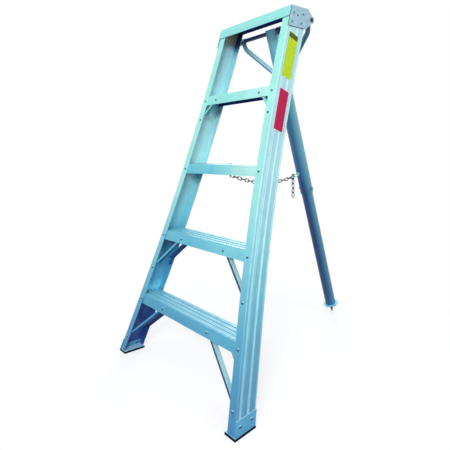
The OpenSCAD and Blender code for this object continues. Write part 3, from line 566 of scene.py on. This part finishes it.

# %% [markdown]
# ## Shoes: folded aluminium sheet
# A shoe is sheet folded round the foot of a stile. Its upper edge is painted pale as a painted highlight,
# which draws a thin pale line round the foot. A strip of mesh could draw it, but the edge is there already,
# and it looks up, which picks it out.

# %% Shoes
shoe_finish, tree, shader = new_finish("folded_shoe_aluminium", metal=0.2, rough=0.42)
plate_tint = tint_by_height(tree, [(0, "#4490ba"), (60, "#56a4c8")])
where = add(tree, "ShaderNodeTexCoord")
# faces that look up get a pale painted highlight
folded = add(tree, "ShaderNodeMix", {"Factor": looks_to(tree, where, skyward, low=0.5, high=0.9),
                                     "A": plate_tint, "B": linear("#b4dcec")}, data_type="RGBA")
weathered(tree, shader, folded.outputs["Result"], grain=rolling_line, stretch=(1, 1, 20), lean=frame_lean,
          relief=0.2, gloss=0.08)
dress(shoe_finish, "left_shoe", "right_shoe")

# %% [markdown]
# ## Rivets: headed aluminium
# A rivet's head is formed by a blow, so it is smooth. Its upper half is painted bright as a painted
# highlight and its lower half dark as painted shade, so each head shows against the sheet. How far a face
# looks up tells the two halves apart.

# %% Rivets
rivet_line = 3.0

rivet_finish, tree, shader = new_finish("headed_rivet_aluminium", metal=0.3, rough=0.3)
lit_half_tint = tint_by_height(tree, [(20, "#8ccae2"), (380, "#98dcec"), (700, "#b0ecf0"), (1450, "#bcf4f2")])
shaded_half_tint = tint_by_height(tree, [(20, "#123a64"), (500, "#16466c"), (900, "#2c6c80"), (1450, "#4a98a0")])
where = add(tree, "ShaderNodeTexCoord")
# upper half painted highlight, lower half painted shade
head = add(tree, "ShaderNodeMix", {"Factor": looks_to(tree, where, skyward, low=0.35, high=0.9),
                                   "A": shaded_half_tint, "B": lit_half_tint}, data_type="RGBA")
weathered(tree, shader, head.outputs["Result"], grain=rivet_line, stretch=(1, 1, 1), lean=0, relief=0.15,
          gloss=0.08)
dress(rivet_finish, "tread_rivets", "brace_rivets", "plate_rivets", "shoe_rivets")

# %% [markdown]
# ## End plates: galvanised steel sheet
# The two plates at the top carry the rod, so they are steel. Hot zinc cools on it in crystals a few
# millimetres wide, which a Voronoi pattern of cells gives, each cell a slightly different grey-blue. The
# sheet was cut after it was dipped, so its edges and holes have no zinc. On the right plate they are painted
# dark as painted shade along the plate's thickness, and on the left plate they are pale.

# %% Galvanised steel
crystal = 6.0
zinc_line = 3.0
flat_turn = 0.7

plate_finish, tree, shader = new_finish("galvanised_steel_sheet", metal=0.35, rough=0.45)
where = add(tree, "ShaderNodeTexCoord")
cells = add(tree, "ShaderNodeTexVoronoi", {"Vector": where.outputs["Object"], "Scale": 1 / (crystal * mm)})
grey = add(tree, "ShaderNodeSeparateColor", {0: cells.outputs["Color"]})
zinc = add(tree, "ShaderNodeMix", {"Factor": grey.outputs[0], "A": linear("#92b4c4"), "B": linear("#a6c6d4")},
           data_type="RGBA")
place = add(tree, "ShaderNodeSeparateXYZ", {0: where.outputs["Object"]})
# cut edges: pale on the left plate, dark painted shade on the right plate
rightward = add(tree, "ShaderNodeMath", {0: place.outputs["X"], 1: 0.0}, operation="GREATER_THAN")
bare_and_shaded_edge = add(tree, "ShaderNodeMix", {"Factor": rightward.outputs[0], "A": linear("#90d8d8"),
                                   "B": linear("#1e4258")}, data_type="RGBA")
facing = add(tree, "ShaderNodeSeparateXYZ", {0: where.outputs["Normal"]})
flat = add(tree, "ShaderNodeMath", {0: facing.outputs["X"]}, operation="ABSOLUTE")
cut = add(tree, "ShaderNodeMath", {0: flat.outputs[0], 1: flat_turn}, operation="LESS_THAN")
edged = add(tree, "ShaderNodeMix", {"Factor": cut.outputs[0], "A": zinc.outputs["Result"],
                                    "B": bare_and_shaded_edge.outputs["Result"]}, data_type="RGBA")
weathered(tree, shader, edged.outputs["Result"], grain=zinc_line, stretch=(1, 1, 1), lean=0, relief=0.1,
          gloss=0.06)
dress(plate_finish, "left_end_plate", "right_end_plate")

# %% [markdown]
# ## The rear pole: drawn aluminium tube
# A tube is drawn through a ring, so its lines run along it, and it takes the light as long soft bands. It
# is a deeper blue than the frame and paler at its upper end. Its rear right side is painted teal as painted
# light and its front left side deep navy as painted shade. A picture could be wrapped round it, but how far a
# face looks to the lit side mixes the two tints without a seam. The pole leans the other way from the frame,
# so its streaks are turned by its own angle.

# %% Drawn tube
pole_lean = radians(-18.17)
shading_side = (0.77, 0.63, 0)
tube_line = 5.0

pole_finish, tree, shader = new_finish("drawn_aluminium_tube", metal=0.12, rough=0.34)
lit_side_tint = tint_by_height(tree, [(30, "#448cb4"), (150, "#3c82a6"), (450, "#4488a8"), (730, "#5694ac"),
                                   (950, "#6eb0c0"), (1250, "#80c4d2"), (1400, "#a4e8f4")])
shaded_side_tint = tint_by_height(tree, [(30, "#185a90"), (150, "#0c4878"), (450, "#063a6e"), (700, "#0a447a"),
                                   (760, "#14528a"), (830, "#3070a2"), (950, "#4080aa"), (1250, "#5096b6"),
                                   (1400, "#84ccde")])
where = add(tree, "ShaderNodeTexCoord")
# painted light on the rear right side, painted shade on the front left side
tube = add(tree, "ShaderNodeMix", {"Factor": looks_to(tree, where, shading_side, low=-0.3, high=0.9),
                                   "A": shaded_side_tint, "B": lit_side_tint}, data_type="RGBA")
weathered(tree, shader, tube.outputs["Result"], grain=tube_line, stretch=(1, 1, 120), lean=pole_lean,
          relief=0.2, gloss=0.07)
dress(pole_finish, "upper_pole", "lower_pole")

# %% [markdown]
# ## The arms: bent aluminium tube
# The two arms that hold the pole on the rod are tube too, bent cold, so their lines are shorter and their
# gloss is softer. They are painted pale on the upper front as painted light, and a dull blue on the other
# sides as painted shade. The same function as for the pole finds that side.

# %% Arms
lit_arm_side = (0.2, -0.85, 0.49)

arm_finish, tree, shader = new_finish("bent_aluminium_tube", metal=0.15, rough=0.38)
where = add(tree, "ShaderNodeTexCoord")
# painted light on the upper front, painted shade on the other sides
arm = add(tree, "ShaderNodeMix", {"Factor": looks_to(tree, where, lit_arm_side, low=0.5, high=0.88),
                                  "A": linear("#3c7896"), "B": linear("#a4def0")}, data_type="RGBA")
weathered(tree, shader, arm.outputs["Result"], grain=tube_line, stretch=(1, 1, 30), lean=pole_lean,
          relief=0.2, gloss=0.07)
dress(arm_finish, "left_arm", "right_arm")

# %% [markdown]
# ## The pole's foot: turned aluminium
# The foot is turned on a lathe, which leaves an even satin skin with a fine grain. It is painted pale at the
# front left as painted light and darker at the rear right as painted shade, the other way round from the
# tube above it, so the same side mixes two other colours.

# %% Foot of the pole
foot_grain = 3.0

foot_finish, tree, shader = new_finish("turned_foot_aluminium", metal=0.3, rough=0.4)
where = add(tree, "ShaderNodeTexCoord")
# painted light at the front left, painted shade at the rear right
foot = add(tree, "ShaderNodeMix", {"Factor": looks_to(tree, where, shading_side, low=-0.3, high=0.5),
                                   "A": linear("#90d8ea"), "B": linear("#549fba")}, data_type="RGBA")
weathered(tree, shader, foot.outputs["Result"], grain=foot_grain, stretch=(1, 1, 1), lean=0, relief=0.2,
          gloss=0.08)
dress(foot_finish, "pole_foot")


# %% [markdown]
# ## The rod: steel under dark blue enamel
# The rod and its collar are painted, so they aren't metallic to the eye: the colour comes from the paint,
# with a weak gloss and the slight ripple of brushed enamel, about 4 mm across. The ripple could be
# modelled, but it is as thin as the paint, so a noise mixes two blues instead. Other finishes need patches
# too, so a function makes them.

# %% Enamelled rod
def patchy(tree, width, detail, first, second):
    """Two hex colours mixed in patches of a width in millimetres; more detail gives them finer rims."""
    where = add(tree, "ShaderNodeTexCoord")
    patch = add(tree, "ShaderNodeTexNoise", {"Vector": where.outputs["Object"], "Scale": 1 / (width * mm),
                                             "Detail": detail})
    return add(tree, "ShaderNodeMix", {"Factor": patch.outputs[0], "A": linear(first), "B": linear(second)},
               data_type="RGBA").outputs["Result"]


brush_ripple = 4.0

rod_finish, tree, shader = new_finish("dark_blue_enamel", metal=0.0, rough=0.32)
enamel = patchy(tree, width=brush_ripple, detail=2.0, first="#203464", second="#3a5890")
weathered(tree, shader, enamel, grain=brush_ripple, stretch=(20, 1, 1), lean=0, relief=0.2, gloss=0.06)
dress(rod_finish, "pivot_rod", "rod_collar")

# %% [markdown]
# ## Nuts, bolts and chain: zinc-plated steel
# Plated steel starts bright and dulls outdoors to a patchy dark grey, with a gleam where some plating is
# left. The bolt through the pole has kept a blue tinge, and the eye on the pole is the brightest. Four
# materials could be written out, but only their colours and gloss differ, so one function makes them.

# %% Plated steel
plating_grain = 2.0


def plated(name, metal, rough, patch, dull, bright):
    """Plated steel with patches, of a width in millimetres, between a dull and a bright colour."""
    finish, tree, shader = new_finish(name, metal, rough)
    plating = patchy(tree, width=patch, detail=3.0, first=dull, second=bright)
    weathered(tree, shader, plating, grain=plating_grain, stretch=(1, 1, 1), lean=0, relief=0.15, gloss=0.08)
    return finish


fastener_finish = plated("dull_plated_steel", metal=0.6, rough=0.4, patch=9.0,
                         dull="#1f262e", bright="#47525c")
dress(fastener_finish, "rod_nuts", "chain_anchor", "anchor_nut")
bolt_finish = plated("blue_plated_steel", metal=0.45, rough=0.4, patch=9.0,
                     dull="#457a96", bright="#5c98b0")
dress(bolt_finish, "pole_bolt", "pole_nut")
chain_finish = plated("weathered_zinc_chain", metal=0.7, rough=0.38, patch=12.0,
                      dull="#33393f", bright="#7d868c")
dress(chain_finish, "chain_front", "chain_rear", "chain_tail")
eye_finish = plated("bright_plated_eye", metal=0.7, rough=0.3, patch=8.0,
                    dull="#84c2cc", bright="#bce6ea")
dress(eye_finish, "pole_eye")

# %% [markdown]
# ## The joining link
# The CAD chain is two rigid lengths, open by a few millimetres where they meet, so that each can swing. On
# the real one a last link closes the chain there. It stands upright between the two flat links that it
# joins, so its place is measured from their tips: the vertices of the two lengths that reach furthest to
# each other.

# %% Place of the joining link
wire_size = 4.0
link_inside = 9.0
link_play = 0.4

front_tip = max((v.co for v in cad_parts["chain_front"].data.vertices), key=lambda co: co.y)
rear_tip = min((v.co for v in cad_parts["chain_rear"].data.vertices), key=lambda co: co.y)
gap = Vector((0, rear_tip.y - front_tip.y, rear_tip.z - front_tip.z))
along = gap.normalized()
across = Vector((0, -gap.z, gap.y)).normalized()
middle = Vector((0, (front_tip.y + rear_tip.y) / 2, (front_tip.z + rear_tip.z) / 2))
bow = (link_inside + wire_size) / 2 * mm
half_side = gap.length / 2 + (wire_size + link_play + wire_size / 2) * mm - bow
print("the chain is open by", round(gap.length / mm, 1), "mm")

# %% [markdown]
# ## The wire of the link
# A link is a round wire bent to an oval and welded. It could be a torus, but a link is longer than it is
# wide, so rings of points are set round two bows, and the faces between them make the two straight sides as
# well. It swings with the front length.

# %% Joining link
link_rings = 32
wire_sides = 12

wire = bmesh.new()
rings = []
for k in range(link_rings):
    a = 2 * pi * (k + 0.5) / link_rings
    out = along * cos(a) + across * sin(a)
    centre = middle + out * bow + along * (half_side if cos(a) > 0 else -half_side)
    rings.append([wire.verts.new(centre + (out * cos(t) + Vector((1, 0, 0)) * sin(t)) * wire_size / 2 * mm)
                  for t in (2 * pi * j / wire_sides for j in range(wire_sides))])
for ring, after in zip(rings, rings[1:] + rings[:1]):
    for j in range(wire_sides):
        beside = (j + 1) % wire_sides
        wire.faces.new((ring[j], ring[beside], after[beside], after[j])).smooth = True
bmesh.ops.recalc_face_normals(wire, faces=wire.faces)
link_mesh = bpy.data.meshes.new("joining_link")
wire.to_mesh(link_mesh)
wire.free()
link_mesh.materials.append(chain_finish)
joining_link = bpy.data.objects.new("joining_link", link_mesh)
bpy.context.scene.collection.objects.link(joining_link)
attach(joining_link, "front_chain")
print("joining link:", round(2 * (half_side + bow) / mm + wire_size, 1), "mm long")

# %% [markdown]
# ## Spike: black forged steel
# The spike at the end of the pole is forged and left black from the fire, so it is rough to the eye and
# hardly gleams. Flakes of scale could be modelled, but they are thin and about 6 mm wide, so patches of two
# blacks and a strong bump stand for them.

# %% Spike
scale_flake = 6.0
forged_grain = 3.0

spike_finish, tree, shader = new_finish("black_forged_steel", metal=0.5, rough=0.55)
forged = patchy(tree, width=scale_flake, detail=4.0, first="#0d1014", second="#2a2f36")
weathered(tree, shader, forged, grain=forged_grain, stretch=(1, 1, 1), lean=0, relief=0.4, gloss=0.08)
dress(spike_finish, "pole_spike")

# %% [markdown]
# ## Soles: moulded rubber
# The soles are moulded from black rubber, which swallows the light: almost black, with no gleam. The mould
# gives them a fine stipple. It is really under 1 mm; it is drawn 2 mm wide so that it shows.

# %% Soles
stipple = 2.0

sole_finish, tree, shader = new_finish("moulded_black_rubber", metal=0.0, rough=0.7)
shader.inputs["Specular IOR Level"].default_value = 0.05
rubber = patchy(tree, width=stipple, detail=1.0, first="#000208", second="#020a1a")
weathered(tree, shader, rubber, grain=stipple, stretch=(1, 1, 1), lean=0, relief=0.5, gloss=0.05)
dress(sole_finish, "left_sole", "right_sole")

# %% [markdown]
# ## The web that carries two panels
# Two plain vinyl films are stuck on the right stile's web. The stile leans back with the frame and bends
# gently inwards above a straight run. A film could be pulled onto it with a modifier, but the bend is an
# arc, so a few sums give each point of the web from its depth behind the front and its run up along the
# stile.

# %% Points on the web
base_half = 425.0
splay = radians(11.3)
straight_run = 360.0
bend_radius = 7600.0
bend_centre_x = base_half - straight_run * tan(splay) + bend_radius * cos(splay)
bend_centre_v = straight_run + bend_radius * sin(splay)


def on_web(depth, run, out):
    """The point of the right web at a depth behind its front and a run up along it, set out by some mm."""
    turn = asin((bend_centre_v - run) / bend_radius)
    x = bend_centre_x - bend_radius * cos(turn) + out
    y = front_y + depth * cos(frame_lean) + run * sin(frame_lean)
    z = run * cos(frame_lean) - depth * sin(frame_lean)
    return Vector((x, y, z)) * mm


print("the bend starts", straight_run, "mm up the stile")

# %% [markdown]
# ## A sheet with round corners
# A panel is cut from sheet with round corners. It could be a flat rectangle, but the stile bends, so its
# outline is drawn flat, with an arc at each corner, and is then sliced across so that it can follow the
# bend.

# %% Cutting a film
film_corner = 4.0
corner_steps = 4
slice_run = 20.0


def cut_sheet(low, high):
    """A flat sheet between two corners of depth and run, in millimetres."""
    (d0, r0), (d1, r1) = low, high
    sheet = bmesh.new()
    rim = []
    for quarter, (cx, cy) in enumerate(((d1 - film_corner, r1 - film_corner),
                                        (d0 + film_corner, r1 - film_corner),
                                        (d0 + film_corner, r0 + film_corner),
                                        (d1 - film_corner, r0 + film_corner))):
        for k in range(corner_steps + 1):
            a = (quarter + k / corner_steps) * pi / 2
            rim.append(sheet.verts.new((cx + film_corner * cos(a), cy + film_corner * sin(a), 0)))
    sheet.faces.new(rim)
    slices = max(2, int((r1 - r0) / slice_run))
    for k in range(1, slices):
        cut = Vector((0, r0 + (r1 - r0) * k / slices, 0))
        bmesh.ops.bisect_plane(sheet, geom=sheet.verts[:] + sheet.edges[:] + sheet.faces[:],
                               plane_co=cut, plane_no=(0, 1, 0))
    return sheet


print("slices are about", slice_run, "mm apart")

# %% [markdown]
# ## Laying the film on the web
# Every point of the flat sheet is moved to its place on the web, a little off the face so that the film
# lies on top. Its thickness could be built too, but a modifier gives it evenly on the bend. It moves with
# the frame.

# %% Laying a film
film_thick = 0.15


def film(name, low, high, lift, finish):
    """A thin film between two corners of depth and run, lifted off the web's lands."""
    sheet = cut_sheet(low, high)
    for vert in sheet.verts:
        vert.co = on_web(vert.co.x, vert.co.y, lift)
    mesh = bpy.data.meshes.new(name)
    bmesh.ops.recalc_face_normals(sheet, faces=sheet.faces)
    sheet.to_mesh(mesh)
    sheet.free()
    mesh.materials.append(finish)
    piece = bpy.data.objects.new(name, mesh)
    bpy.context.scene.collection.objects.link(piece)
    body = piece.modifiers.new("film_thickness", "SOLIDIFY")
    body.thickness = film_thick * mm
    body.offset = 0
    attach(piece, "frame")
    print(name, len(mesh.polygons), "faces")


print("films are", film_thick, "mm thick")

# %% [markdown]
# ## Coloured vinyl
# One panel is yellow-green with a dark band at its top, the other red with a thin white edge. Vinyl is cast
# smooth, so it is weakly glossy, and sun and dust have mottled it a little. The four colours could be
# painted on two films, but each is a film of its own, the band and the red laid over the others.

# %% Vinyl films
dust_patch = 15.0
vinyl_grain = 6.0


def vinyl(name, pale, deep):
    """Coloured vinyl, mottled between a pale and a deep hex colour."""
    finish, tree, shader = new_finish(name, metal=0.0, rough=0.45)
    shader.inputs["Specular IOR Level"].default_value = 0.2
    mottled = patchy(tree, width=dust_patch, detail=4.0, first=pale, second=deep)
    weathered(tree, shader, mottled, grain=vinyl_grain, stretch=(1, 1, 1), lean=0, relief=0.05, gloss=0.05)
    return finish


under_lift, over_lift = 0.15, 0.32
yellow_low, yellow_high = (16, 1306), (68, 1484)
band_inset, band_run = 1, 20
band_low = (yellow_low[0] + band_inset, yellow_high[1] - band_inset - band_run)
band_high = (yellow_high[0] - band_inset, yellow_high[1] - band_inset)
white_low, white_high = (19, 1093), (74, 1260)
white_edge = 2.5
red_low = [edge + white_edge for edge in white_low]
red_high = [edge - white_edge for edge in white_high]

film("yellow_panel", yellow_low, yellow_high, under_lift, vinyl("yellow_green_vinyl", "#c8e41e", "#a8c81c"))
film("yellow_panel_band", band_low, band_high, over_lift, vinyl("dark_olive_vinyl", "#5a6a14", "#3c480e"))
film("red_panel_edge", white_low, white_high, under_lift, vinyl("white_vinyl", "#f4e8f0", "#e6d8e4"))
film("red_panel", red_low, red_high, over_lift, vinyl("crimson_vinyl", "#c81450", "#a80c40"))
